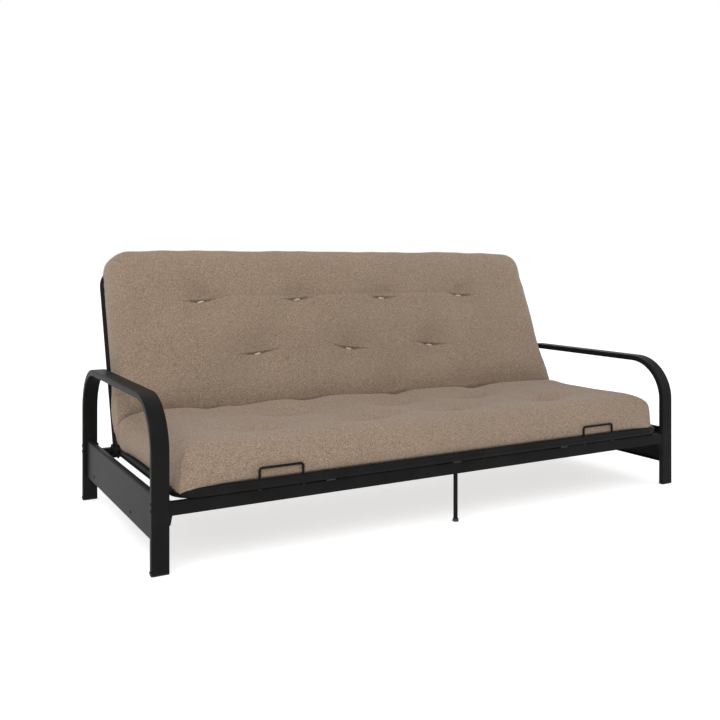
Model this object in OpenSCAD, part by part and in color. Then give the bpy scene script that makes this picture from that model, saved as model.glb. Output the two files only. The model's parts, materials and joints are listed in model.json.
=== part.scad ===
// Futon sofa bed: a full-size folding mattress on a tubular steel frame.
// All sizes in millimetres. X runs along the sofa, the sitter faces -Y, Z is up from the floor.
// Three rigid groups: the base with its two arms, the seat that slides forward on the base,
// and the back that is hinged to the rear of the seat.

/* [Overall] */
// Width over the outer faces of the two arms
overall_width = 2000; // [1500:10:2300]
// Depth of an arm over its front and back legs
arm_depth = 873; // [720:1:1050]
// Height of the armrests above the floor
arm_height = 474; // [400:1:560]
// Angle of the back from the vertical when used as a sofa
back_lean = 19.65; // [10:0.05:30]

/* [Arms] */
// Width of the arm's flat tube, seen from above
arm_strip = 50; // [30:1:80]
// Thickness of the arm's flat tube
arm_thick = 20; // [15:1:30]
// Outer radius of the arm's two bends
arm_bend = 155; // [60:1:170]
// Corner radius of the arm tube's section
arm_round = 4; // [1:0.5:8]
// Wall of the arm tube
arm_wall = 1.5; // [1:0.1:3]

/* [Side panels] */
// Height of the panel's lower edge above the floor
panel_low = 80; // [40:1:120]
// Height of the panel's upper edge above the floor
panel_high = 211; // [180:1:240]
// How far the panel's face is set back from the arm's outer face
panel_inset = 13; // [2:0.5:20]
// Depth of the panel's turned-in flanges
panel_flange = 16; // [8:0.5:24]
// Sheet thickness of the panel
panel_sheet = 2; // [1:0.1:3]
// Outside radius of the panel's folded edges
panel_fold = 6; // [2.5:0.5:8]
// Radius of the panel's lower back corner
panel_corner = 15; // [0:1:30]

/* [Rails] */
// Height of the rail's section
rail_high = 36; // [25:1:60]
// Depth of the rail's section
rail_deep = 20; // [15:1:40]
// Height of the front rail's top above the floor
front_rail_top = 191.5; // [150:0.5:230]
// How far the back rail's top is below the front rail's
back_rail_drop = 16; // [0:0.5:60]
// Wall of the rail tube
rail_wall = 1.5; // [1:0.1:3]
// Diameter of the centre leg
centre_leg_d = 14; // [10:1:30]

/* [Seat and back frames] */
// Outside diameter of the frame tube
tube_d = 28; // [20:0.5:35]
// Wall of the frame tube
tube_wall = 1.5; // [1:0.1:3]
// Side gap between an arm's inner face and the frame tube
side_gap = 10.5; // [9:0.5:30]
// Bend radius of the frame tube's corners, on its centre line
tube_bend = 60; // [40:1:120]
// Clearance between the front rail and the stoppers' nuts under the seat's front tube
rail_clear = 0.5; // [0.3:0.1:5]
// Distance of the hinge pins behind the front legs' faces
hinge_back = 672; // [560:1:760]
// Distance from the hinge pins to the back frame's top tube, centre to centre
back_reach = 635; // [520:1:760]
// Number of wires in each deck
wire_count = 17; // [5:2:25]
// Diameter of the deck wires
wire_d = 5; // [3:0.5:8]
// How far the seat slides forward to make the bed
seat_travel = 240; // [150:1:300]

/* [Stoppers] */
// Wire diameter of the mattress stoppers
stopper_wire = 7; // [5:0.5:10]
// Distance between a stopper's two posts
stopper_span = 137; // [80:1:200]
// Height of a stopper's top above the centre line of the seat's front tube
stopper_rise = 48; // [30:1:90]
// Distance of a stopper's middle from the sofa's middle
stopper_place = 620; // [300:1:750]

/* [Mattress] */
// Clearance between each side of the mattress and the arm's inner face
mattress_clear = 20; // [5:1:60]
// Thickness of the mattress
mattress_thick = 110; // [70:1:180]
// How far the mattress stands past the back frame's top tube centre
mattress_over = 38; // [20:1:80]
// Gap between the mattress front and the stopper wire
mattress_gap = 1; // [0.5:0.5:20]
// Radius of the mattress's four corners
mattress_corner = 62; // [20:1:120]

/* [Hidden] */
$fn = 64;
eps = 0.01;                                   // overlap that keeps cuts clean
half_w = overall_width / 2;
tube_r = tube_d / 2;
nut_high = 3;
hinge_high = front_rail_top + rail_clear + nut_high + tube_r;   // pins and tube centres above the floor
back_rail_top = front_rail_top - back_rail_drop;
arm_inner = half_w - arm_strip;               // X of an arm's inner face
tube_x = arm_inner - side_gap - tube_r;       // X of the side tubes' centres
front_tube_y = 3.5;                           // front tube centre behind the legs' front faces
seat_reach = hinge_back - front_tube_y;       // hinge to the front tube, centre to centre
fold_angle = 90 - back_lean;                  // turn of the back from upright to flat
fold_gap = 1.5;                               // each half stops this far from the fold plane
deck_low = tube_r + 0.5;                      // mattress underside above the tube centres
mattress_wide = 2 * (arm_inner - mattress_clear);
back_top_y = hinge_back + back_reach * sin(back_lean) + tube_r;
front_y = front_tube_y - tube_r;
y_mid = (min(front_y, 0) + max(back_top_y, arm_depth)) / 2;   // middle of the whole depth
rail_inset = 3;                               // rails behind the legs' outer faces
plate = 4;                                    // hinge plate thickness
plate_gap = 0.5;                              // side play of the back tube between its plates
pin_d = 10;
pin_play = 0.1;                               // pin holes are this much larger across
strap_high = 28;
pin_lug = strap_high / 2 + 3;                  // radius of the hinge plates round the pin
strap_from = 87;                              // strap end in front of the hinge pin
pad_long = 46;
glide_y = hinge_back + 18;
glide_z = front_rail_top - 19.5;
guide_wall = 2;
guide_low = glide_z - 20;
guide_high = glide_z + 20;
guide_deep = arm_strip - panel_inset - panel_flange;
block_long = 56;
block_wide = 14;
stud_d = 8;
cross_tube_d = 22;
seat_cross = 112;                             // rear cross tube in front of the hinge pin
back_cross = 45;                              // lower cross tube above the hinge pin
bar_wide = 25;
bar_high = tube_r - 1;
bar_place = [-460, 0, 460];
wire_lift = 4;                                // deck wires above the tube centres
runner_wide = 20;
runner_high = 3;
runner_at = [0.25, 0.5, 0.75];
cap_lip = 3;
cap_plug = 15;
cap_play = 0.1;
rivet_d = 6;
rivet_head = 8;
rivet_high = 10;
bolt_d = 6;
bolt_head = 10;
head_rise = 3;                                // domed heads stand this far out of the arms
bolt_drop = [0, 20];                          // two bolts, one above the other
bolt_top = front_rail_top + 0.5;
bolt_inset = 11.5;
leg_bolt_y = [bolt_inset, arm_depth - bolt_inset];
screw_d = 10;
screw_head = 3;
screw_high = 105;
screw_y = [271, 743];
foot_d = 21;
foot_high = 9;
nut_d = 12;
stopper_bend = 8;
plug_lip = 2;
plug_deep = 10;
gusset_drop = 26;
gusset_foot = 2.5;
gusset_head = 8;
end_plate = 3;
rail_end = arm_inner - end_plate;              // rails stop at their end plates
plate_top = bolt_top + 5;                      // end plates reach above the upper bolts
rail_pad_long = 30;
rail_pad_gap = 0.4;

black = [0.13, 0.13, 0.14];
plastic = [0.08, 0.08, 0.08];
taupe = [0.56, 0.49, 0.42];

// ---------- shared shapes ----------

// Moves shapes drawn from the front legs' faces to the part's own origin
module placed() translate([0, -y_mid, 0]) children();

// Draws the children on the left and mirrored on the right
module both_sides() {
    children();
    mirror([1, 0, 0]) children();
}

// Turns a shape drawn flat in Y and Z, with its thickness along X
module on_side(x) translate([x, 0, 0]) rotate([90, 0, 90]) children();

// A cylinder along X from x0 to x1
module rod_x(x0, x1, y, z, d) translate([x0, y, z]) rotate([0, 90, 0]) cylinder(h = x1 - x0, d = d);

// A domed head of diameter d that stands out along -X from a face at x
module dome_x(x, y, z, d, rise) translate([x, y, z]) rotate([0, -90, 0]) rotate_extrude()
    polygon([[0, 0], [d / 2, 0], [0.46 * d, 0.4 * rise], [0.36 * d, 0.78 * rise], [0.2 * d, rise], [0, rise]]);

module round_rect(w, h, r) {
    translate([r, 0]) square([w - 2 * r, h]);
    translate([0, r]) square([w, h - 2 * r]);
    for (x = [r, w - r], y = [r, h - r]) translate([x, y]) circle(r);
}

// ---------- base ----------

// The arm's bent tube, shrunk all round by the given amount; left arm
module arm_sweep(shrink) {
    t = arm_thick - 2 * shrink;
    w = arm_strip - 2 * shrink;
    r = max(arm_round - shrink, 0.5);
    leg_top = arm_height - arm_bend;
    for (y = [0, arm_depth - arm_thick])
        translate([-half_w + shrink, y + shrink, cap_lip])
            linear_extrude(leg_top - cap_lip) round_rect(w, t, r);
    translate([-half_w + shrink, arm_bend, arm_height - shrink]) rotate([-90, 0, 0])
        linear_extrude(arm_depth - 2 * arm_bend) round_rect(w, t, r);
    for (end = [[arm_bend, 90], [arm_depth - arm_bend, 0]])
        translate([-half_w + shrink, end[0], leg_top]) rotate([90, 0, 90]) rotate([0, 0, end[1]])
            rotate_extrude(angle = 90) translate([arm_bend - arm_thick + shrink, 0]) round_rect(t, w, r);
}

module arm() {
    difference() {
        arm_sweep(0);
        difference() {
            arm_sweep(arm_wall);
            translate([-half_w, -1, -1]) cube([arm_strip, arm_depth + 2, cap_lip + 1 - eps]);
        }
        for (y = leg_bolt_y, drop = bolt_drop)
            rod_x(-half_w - 1, -arm_inner + 1, y, bolt_top - drop, bolt_d + 0.4);
        for (y = leg_bolt_y) rod_x(-half_w - 1, -half_w + arm_wall + 1, y, rivet_high, rivet_d + cap_play);
    }
}

module arm_left() placed() color(black) arm();
module arm_right() placed() color(black) mirror([1, 0, 0]) arm();

// Section of the pressed panel in X and Z, open towards the sofa's middle
module panel_section() {
    high = panel_high - panel_low;
    difference() {
        union() {
            round_rect(2 * panel_fold + 1, high, panel_fold);
            translate([panel_fold, 0]) square([panel_flange - panel_fold, high]);
        }
        translate([panel_sheet, panel_sheet])
            round_rect(2 * panel_fold, high - 2 * panel_sheet, panel_fold - panel_sheet);
        translate([panel_fold, panel_sheet]) square([panel_flange, high - 2 * panel_sheet]);
    }
}

module panel() {
    long = arm_depth - 2 * arm_thick;
    difference() {
        translate([-half_w + panel_inset, arm_thick + long, panel_low]) rotate([90, 0, 0])
            linear_extrude(long) panel_section();
        translate([0, arm_depth - arm_thick - panel_corner, panel_low]) on_side(-half_w)
            linear_extrude(arm_strip) difference() {
                translate([0, -1]) square([panel_corner + 1, panel_corner + 1]);
                translate([0, panel_corner]) circle(panel_corner);
            }
        for (y = screw_y) rod_x(-half_w, -half_w + panel_inset + panel_sheet + 1, y, screw_high, 5.2);
    }
}
module panel_left() placed() color(black) panel();
module panel_right() placed() color(black) mirror([1, 0, 0]) panel();

module panel_screws() placed() color(black) both_sides() for (y = screw_y) {
    x = -half_w + panel_inset;
    dome_x(x, y, screw_high, screw_d, screw_head);
    rod_x(x - eps, x + 10, y, screw_high, 5);
}

// Channel behind the panel in which the seat's glide block runs
module guide() {
    long = arm_depth - 2 * arm_thick;
    x = -arm_inner - guide_deep;
    difference() {
        translate([x, arm_thick, guide_low]) cube([guide_deep, long, guide_high - guide_low]);
        translate([x + guide_wall, arm_thick - 1, guide_low + guide_wall])
            cube([guide_deep, long + 2, guide_high - guide_low - 2 * guide_wall]);
    }
}
module guide_left() placed() color(black) guide();
module guide_right() placed() color(black) mirror([1, 0, 0]) guide();

module rail(y, top) translate([-rail_end, y, top - rail_high]) difference() {
    cube([2 * rail_end, rail_deep, rail_high]);
    translate([-1, rail_wall, rail_wall])
        cube([2 * rail_end + 2, rail_deep - 2 * rail_wall, rail_high - 2 * rail_wall]);
}
module front_rail() placed() color(black) rail(rail_inset, front_rail_top);
module back_rail() placed() color(black) rail(arm_depth - rail_inset - rail_deep, back_rail_top);

// End plate and tapered gusset between a leg and a rail
module bracket(y, top) difference() {
    translate([0, y + rail_deep, 0]) rotate([90, 0, 0]) linear_extrude(rail_deep) polygon([
        [-arm_inner, top - rail_high - gusset_drop],
        [-arm_inner + gusset_foot, top - rail_high - gusset_drop],
        [-arm_inner + gusset_head, top - rail_high],
        [-arm_inner + end_plate, top - rail_high],
        [-arm_inner + end_plate, plate_top],
        [-arm_inner, plate_top]]);
    for (yb = leg_bolt_y, drop = bolt_drop)
        rod_x(-arm_inner - 1, -arm_inner + end_plate + 1, yb, bolt_top - drop, bolt_d + 0.4);
}
module rail_brackets() placed() color(black) both_sides() {
    bracket(rail_inset, front_rail_top);
    bracket(arm_depth - rail_inset - rail_deep, back_rail_top);
}

// Dome-headed bolts through each leg into the rail brackets
module leg_bolts() placed() color(black) both_sides() for (y = leg_bolt_y, drop = bolt_drop) {
    dome_x(-half_w, y, bolt_top - drop, bolt_head, head_rise);
    rod_x(-half_w - eps, -arm_inner + end_plate - 0.5, y, bolt_top - drop, bolt_d);
}

// Pads on the front rail that carry the seat's bars as it slides
module rail_pads() placed() color(plastic) for (x = bar_place)
    translate([x - rail_pad_long / 2, rail_inset, front_rail_top])
        cube([rail_pad_long, rail_deep, hinge_high - tube_r - rail_pad_gap - front_rail_top]);

module centre_leg() placed() color(black)
    translate([0, rail_inset + rail_deep / 2, foot_high / 2])
        cylinder(h = front_rail_top - rail_high - foot_high / 2, d = centre_leg_d);

module centre_foot() placed() color(plastic) translate([0, rail_inset + rail_deep / 2, 0]) difference() {
    cylinder(h = foot_high, d1 = foot_d, d2 = foot_d - 3);
    translate([0, 0, foot_high / 2]) cylinder(h = foot_high, d = centre_leg_d);
}

module foot_caps() placed() color(plastic) both_sides() for (y = [0, arm_depth - arm_thick]) difference() {
    union() {
        translate([-half_w, y, 0]) linear_extrude(cap_lip) round_rect(arm_strip, arm_thick, arm_round);
        inset = arm_wall + cap_play;
        translate([-half_w + inset, y + inset, cap_lip - eps]) linear_extrude(cap_plug)
            round_rect(arm_strip - 2 * inset, arm_thick - 2 * inset, arm_round - arm_wall);
    }
    for (yb = leg_bolt_y) rod_x(-half_w - 1, -half_w + 5, yb, rivet_high, rivet_d + cap_play);
}

module cap_rivets() placed() color(black) both_sides() for (y = leg_bolt_y) {
    dome_x(-half_w, y, rivet_high, rivet_head, head_rise);
    rod_x(-half_w - eps, -half_w + 4, y, rivet_high, rivet_d);
}

// ---------- frames, drawn flat with +Y away from the hinge pins ----------

// The U of bent tube at diameter d, from y0 at its open ends to its far cross tube at y1
module tube_u(d, y0, y1) {
    both_sides() translate([-tube_x, y0, 0]) rotate([-90, 0, 0]) cylinder(h = y1 - tube_bend - y0, d = d);
    both_sides() translate([-tube_x + tube_bend, y1 - tube_bend, 0]) rotate([0, 0, 90])
        rotate_extrude(angle = 90) translate([tube_bend, 0]) circle(d = d);
    rod_x(-tube_x + tube_bend, tube_x - tube_bend, y1, 0, d);
}

module frame_half(y0, y1, cross) difference() {
    union() {
        tube_u(tube_d, y0, y1);
        rod_x(-tube_x, tube_x, cross, 0, cross_tube_d);
    }
    translate([0, -1, 0]) tube_u(tube_d - 2 * tube_wall, y0, y1 + 1);
    rod_x(-tube_x + tube_r, tube_x - tube_r, cross, 0, cross_tube_d - 2 * tube_wall);
}

// Bars from the cross tube to the far tube, under the deck
module bars(y0, y1) for (x = bar_place)
    translate([x - bar_wide / 2, y0 + cross_tube_d / 2, -tube_r])
        cube([bar_wide, y1 - tube_r - y0 - cross_tube_d / 2, bar_high]);

// Wires welded on flat runners; they end at the tubes
module deck(y0, y1) {
    from = y0 + cross_tube_d / 2 + 0.3;
    to = y1 - tube_r + 0.6;
    under = wire_lift - wire_d / 2 - runner_high + 1;
    step = 2 * (tube_x - tube_r) / (wire_count + 1);
    for (i = [1 : wire_count])
        translate([-tube_x + tube_r + i * step, from, wire_lift]) rotate([-90, 0, 0])
            cylinder(h = to - from - 1.2, d = wire_d);
    for (k = runner_at)
        translate([-tube_x + tube_r + 0.2, from + k * (to - from) - runner_wide / 2, under])
            cube([2 * (tube_x - tube_r) - 0.4, runner_wide, runner_high]);
}

// Plastic plugs in the open tube ends
module plugs(y0) both_sides() translate([-tube_x, y0, 0]) rotate([-90, 0, 0]) {
    translate([0, 0, -plug_lip]) cylinder(h = plug_lip, d = tube_d - 1);
    translate([0, 0, -eps]) cylinder(h = plug_deep, d = tube_d - 2 * tube_wall - 0.2);
}

// One half of the mattress. The fold plane leans by half the fold angle.
module mattress_half(far) {
    k = tan(fold_angle / 2);
    low = deck_low;
    high = deck_low + mattress_thick;
    side = mattress_wide / 2;
    difference() {
        translate([-side, -2 * mattress_corner, low]) linear_extrude(mattress_thick)
            round_rect(mattress_wide, far + 2 * mattress_corner, mattress_corner);
        translate([-side - 1, 0, 0]) rotate([90, 0, 90]) linear_extrude(mattress_wide + 2) polygon([
            [-3 * mattress_corner, low - 1], [fold_gap + (low - 1) * k, low - 1],
            [fold_gap + (high + 1) * k, high + 1], [-3 * mattress_corner, high + 1]]);
    }
}

// ---------- seat ----------

module on_seat() placed() translate([0, hinge_back, hinge_high]) mirror([0, 1, 0]) children();
seat_open = 32;                                // side tubes end this far in front of the pins

stopper_x = [for (side = [-1, 1], post = [-1, 1]) side * stopper_place + post * stopper_span / 2];

module seat_frame() on_seat() color(black) difference() {
    frame_half(seat_open, seat_reach, seat_cross);
    for (x = stopper_x) translate([x, seat_reach, -tube_d]) cylinder(h = 2 * tube_d, d = stopper_wire + 0.2);
}
module seat_bars() on_seat() color(black) bars(seat_cross, seat_reach);
module seat_deck() on_seat() color(black) deck(seat_cross, seat_reach);
module seat_plugs() on_seat() color(plastic) plugs(seat_open);

// Strap and lug round the pin, drawn in Y and Z from the front legs' faces
module plate_face() {
    translate([hinge_back - strap_from, hinge_high - strap_high / 2]) square([strap_from, strap_high]);
    translate([hinge_back, hinge_high]) circle(pin_lug);
}
module weld_pad(x, wide) difference() {
    translate([x, hinge_back - seat_open - pad_long, hinge_high - strap_high / 2 + 4])
        cube([wide, pad_long - 4, strap_high - 8]);
    translate([-tube_x, 0, hinge_high]) rotate([-90, 0, 0]) cylinder(h = hinge_back, r = tube_r + 0.05);
}

// Outer plate: holds the pin and, on its lower arm, the glide stud
module hinge_plate() {
    x = -tube_x - tube_r - plate_gap - plate;
    difference() {
        union() {
            on_side(x) linear_extrude(plate) {
                plate_face();
                translate([glide_y, glide_z]) circle(strap_high / 2);
                arm_len = sqrt(pow(glide_y - hinge_back, 2) + pow(glide_z - hinge_high, 2));
                translate([hinge_back, hinge_high])
                    rotate(atan2(glide_z - hinge_high, glide_y - hinge_back))
                        translate([0, -strap_high / 2]) square([arm_len, strap_high]);
            }
            weld_pad(x + plate - eps, 3);
        }
        rod_x(x - 1, x + plate + 1, hinge_back, hinge_high, pin_d + pin_play);
        rod_x(x - 1, x + plate + 1, glide_y, glide_z, stud_d + pin_play);
    }
}
module hinge_plate_left() placed() color(black) hinge_plate();
module hinge_plate_right() placed() color(black) mirror([1, 0, 0]) hinge_plate();

module inner_plate() {
    x = -tube_x + tube_r + plate_gap;
    difference() {
        union() {
            on_side(x) linear_extrude(plate) plate_face();
            weld_pad(x - 3, 3 + eps);
        }
        rod_x(x - 1, x + plate + 1, hinge_back, hinge_high, pin_d + pin_play);
    }
}
module inner_plate_left() placed() color(black) inner_plate();
module inner_plate_right() placed() color(black) mirror([1, 0, 0]) inner_plate();

plate_out = tube_x + tube_r + plate_gap + plate;  // X of the outer plates' outer faces
plate_in = tube_x - tube_r - plate_gap - plate;   // X of the inner plates' inner faces

module hinge_pins() placed() color(black) both_sides() {
    rod_x(-plate_out - 4.5, -plate_in + 1, hinge_back, hinge_high, pin_d);
    rod_x(-plate_in + 0.2, -plate_in + 5, hinge_back, hinge_high, 16);
}
module hinge_nuts() placed() color(black) both_sides() difference() {
    translate([-plate_out - 4.3, hinge_back, hinge_high]) rotate([0, 90, 0]) cylinder(h = 4.2, d = 18, $fn = 6);
    rod_x(-plate_out - 5, -plate_out + 1, hinge_back, hinge_high, pin_d + pin_play);
}

block_x = -arm_inner - block_wide - 3;            // inside the channel, clear of its web
module glide_studs() placed() color(black) both_sides() {
    rod_x(block_x + 2, -plate_out + plate + 1, glide_y, glide_z, stud_d);
    rod_x(-plate_out + plate + 0.2, -plate_out + plate + 3.5, glide_y, glide_z, 14);
}
module glide_blocks() placed() color(plastic) both_sides() difference() {
    translate([block_x, glide_y - block_long / 2, guide_low + guide_wall + 0.3])
        cube([block_wide, block_long, guide_high - guide_low - 2 * guide_wall - 0.6]);
    rod_x(block_x + 1.5, -arm_inner + 1, glide_y, glide_z, stud_d + pin_play);
}

// Wire loop that keeps the mattress from sliding off the seat
module stopper(side) translate([side * stopper_place, front_tube_y, 0]) {
    low = hinge_high - tube_r - nut_high;
    top = hinge_high + stopper_rise - stopper_wire / 2;
    both_sides() {
        translate([-stopper_span / 2, 0, low]) cylinder(h = top - stopper_bend - low, d = stopper_wire);
        translate([-stopper_span / 2 + stopper_bend, 0, top - stopper_bend]) rotate([90, 0, 0])
            rotate([0, 0, 90]) rotate_extrude(angle = 90) translate([stopper_bend, 0]) circle(d = stopper_wire);
    }
    rod_x(-stopper_span / 2 + stopper_bend, stopper_span / 2 - stopper_bend, 0, top, stopper_wire);
}
module stopper_left() placed() color(black) stopper(-1);
module stopper_right() placed() color(black) stopper(1);

module stopper_nuts() placed() color(black) for (x = stopper_x)
    translate([x, front_tube_y, hinge_high - tube_r - nut_high]) difference() {
        cylinder(h = nut_high, d = nut_d, $fn = 6);
        translate([0, 0, -1]) cylinder(h = nut_high + 2, d = stopper_wire + 0.1);
    }

module seat_mattress() on_seat() color(taupe)
    mattress_half(seat_reach - stopper_wire / 2 - mattress_gap);

// ---------- back ----------

module on_back() placed() translate([0, hinge_back, hinge_high]) rotate([fold_angle, 0, 0]) children();
back_open = -12;                               // side tubes end this far past the pins

module back_frame() on_back() color(black) difference() {
    frame_half(back_open, back_reach, back_cross);
    both_sides() rod_x(-tube_x - tube_d, -tube_x + tube_d, 0, 0, pin_d + pin_play);
}
module back_bars() on_back() color(black) bars(back_cross, back_reach);
module back_deck() on_back() color(black) deck(back_cross, back_reach);
module back_plugs() on_back() color(plastic) difference() {
    plugs(back_open);
    both_sides() rod_x(-tube_x - tube_d, -tube_x + tube_d, 0, 0, pin_d + 1);
}
module back_mattress() on_back() color(taupe) mattress_half(back_reach + mattress_over);

// ---------- selector ----------

arm_left();
arm_right();
panel_left();
panel_right();
panel_screws();
guide_left();
guide_right();
front_rail();
back_rail();
rail_brackets();
leg_bolts();
rail_pads();
centre_leg();
centre_foot();
foot_caps();
cap_rivets();
seat_frame();
seat_bars();
seat_deck();
hinge_plate_left();
hinge_plate_right();
inner_plate_left();
inner_plate_right();
hinge_pins();
hinge_nuts();
glide_studs();
glide_blocks();
seat_plugs();
stopper_left();
stopper_right();
stopper_nuts();
seat_mattress();
back_frame();
back_bars();
back_deck();
back_plugs();
back_mattress();
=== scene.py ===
"""Looks of a futon sofa bed: a folding mattress on a black tubular steel frame.

Everything is in metres in the part's own frame: X along the sofa, the sitter faces -Y, Z is up.
"""

import json
import math

import bmesh
import bpy
import numpy as np
from bpy.props import FloatProperty, FloatVectorProperty, PointerProperty
from mathutils import Matrix, Vector
from mathutils.bvhtree import BVHTree


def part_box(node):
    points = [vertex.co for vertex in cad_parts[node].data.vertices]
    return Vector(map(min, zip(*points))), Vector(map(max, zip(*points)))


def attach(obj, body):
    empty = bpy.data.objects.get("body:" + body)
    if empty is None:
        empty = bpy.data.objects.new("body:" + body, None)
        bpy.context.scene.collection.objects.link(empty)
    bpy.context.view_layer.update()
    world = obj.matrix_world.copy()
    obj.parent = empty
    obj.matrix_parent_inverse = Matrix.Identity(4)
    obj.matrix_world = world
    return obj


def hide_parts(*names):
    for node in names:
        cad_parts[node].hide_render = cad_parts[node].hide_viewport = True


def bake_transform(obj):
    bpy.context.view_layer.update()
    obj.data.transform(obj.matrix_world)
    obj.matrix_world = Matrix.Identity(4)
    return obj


bl_info = {
    "name": "Futon Sofa Bed",
    "version": (1, 0, 0),
    "blender": (4, 5, 0),
    "location": "3D View > Sidebar > Futon",
    "description": "Builds the mattress, stitching, finishes and studio of a futon sofa bed",
    "category": "Object",
}

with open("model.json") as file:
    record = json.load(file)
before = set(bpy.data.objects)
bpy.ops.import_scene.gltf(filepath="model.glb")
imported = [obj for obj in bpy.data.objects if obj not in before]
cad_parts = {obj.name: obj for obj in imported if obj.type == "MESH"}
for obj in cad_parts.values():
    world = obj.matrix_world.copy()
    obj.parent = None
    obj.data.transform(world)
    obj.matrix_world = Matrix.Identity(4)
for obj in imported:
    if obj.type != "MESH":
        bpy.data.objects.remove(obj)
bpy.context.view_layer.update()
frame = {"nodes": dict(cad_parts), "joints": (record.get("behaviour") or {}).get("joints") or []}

# ---------------------------------------------------------------- geometry taken from the frame

BACK_FOLD = next(j for j in frame["joints"] if j["name"] == "back_fold")
HINGE = Vector(BACK_FOLD["pos_m"])
FOLD_ANGLE = math.radians(BACK_FOLD["range_deg"][1])
BACK_LEAN = math.pi / 2 - FOLD_ANGLE
BACK_UP = Vector((0.0, math.sin(BACK_LEAN), math.cos(BACK_LEAN)))      # up the slope of the back
BACK_OUT = Vector((0.0, -math.cos(BACK_LEAN), math.sin(BACK_LEAN)))    # out of the back's front face
FOLD_OUT = (BACK_OUT + Vector((0.0, 0.0, 1.0))).normalized()           # from the hinge to the crease
FOLD_SIDE = Vector((0.0, FOLD_OUT.z, -FOLD_OUT.y))                     # square to the fold plane
SEAT_LOW, SEAT_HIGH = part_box("seat_mattress")
UNDERSIDE = SEAT_LOW.z - HINGE.z                    # mattress underside above the hinge line
THICK = SEAT_HIGH.z - SEAT_LOW.z
HALF_WIDTH = SEAT_HIGH.x
SEAT_LONG = HINGE.y - SEAT_LOW.y
BACK_LOW, BACK_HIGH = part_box("back_mattress")
BACK_LONG = (BACK_HIGH.z - HINGE.z - UNDERSIDE * BACK_OUT.z - THICK * BACK_OUT.z) / BACK_UP.z
FOLD_SLOPE = math.tan(FOLD_ANGLE / 2)               # lean of the plane where the two halves meet

TUBE_R = 0.014
TUBE_BEND = 0.060
SEAT_FRAME_LOW, SEAT_FRAME_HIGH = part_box("seat_frame")
TUBE_X = SEAT_FRAME_HIGH.x - TUBE_R                 # the side tubes' centre lines
SEAT_TUBE = HINGE.y - SEAT_FRAME_LOW.y - TUBE_R     # hinge to the front tube's centre line
BACK_TUBE = (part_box("back_frame")[1].z - HINGE.z - TUBE_R) / BACK_UP.z
DECK_TOP = 0.0068                                   # top of the deck wires above the tube centres

# ---------------------------------------------------------------- sizes and steps of the mattress

FOLD_CLEAR = 0.05                                   # the cover hangs on the frame only beyond this
HALVES_OVERLAP = 0.012                              # how far the two blocks run into each other at the fold
LOWER_EDGE = 0.010                                  # radius of the blocks' lower edges
SEAT_END = SEAT_LONG + 0.003                        # far ends of the two blocks, from the hinge line
BACK_END = BACK_LONG + 0.0235
SEAT_START_HALF = HALF_WIDTH - 0.006                # half widths of the blocks, before they swell
BACK_START_HALF = HALF_WIDTH + 0.002
BACK_HALF = HALF_WIDTH + 0.0005                     # half width of the back once it is filled
SIDE_LIMIT = HALF_WIDTH + 0.010                     # the cover never reaches farther out than this
COVER_GAP = 0.0006                                  # between the cover and the steel that it lies on
LOWEST_HANG = -0.02                                 # lowest that the cover hangs outside the frame tube
SWELL_FRAMES = 20                                   # length of the simulation
RELAX_ROUNDS = 70                                   # how often the back's corners are evened out,
RELAX_STEP = 0.6                                    # and by what share each time
SEAM_TOP = 0.112                                    # the corner seams end at this height
SIDE_SEAM = 0.165                                   # the back's side seam, from the hinge line
THREAD_R = 0.0013
THREAD_LONG = 0.028
THREAD_RAISE = 0.0082                               # bundle's middle above the bottom of its tuft

PLASTIC = ["rail_pads", "centre_foot", "foot_caps", "glide_blocks", "seat_plugs", "back_plugs"]
HARDWARE = ["panel_screws", "leg_bolts", "cap_rivets", "hinge_pins", "hinge_nuts",
            "glide_studs", "stopper_nuts"]
CUSHION = ["seat_mattress", "back_mattress"]

# Tufts, as (X, distance from the hinge line). The back's carry a visible stitch, with its tilt in degrees.
BACK_TUFTS = [(-0.605, 0.483, 14), (-0.220, 0.483, 12), (0.158, 0.481, -8), (0.546, 0.484, -16),
              (-0.413, 0.278, 15), (-0.031, 0.278, -22), (0.348, 0.276, -18)]
SEAT_TUFTS = [(-0.413, 0.262), (0.019, 0.255), (0.363, 0.265),
              (-0.603, 0.470), (-0.217, 0.466), (0.145, 0.470), (0.548, 0.464)]


# ---------------------------------------------------------------- settings

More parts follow.
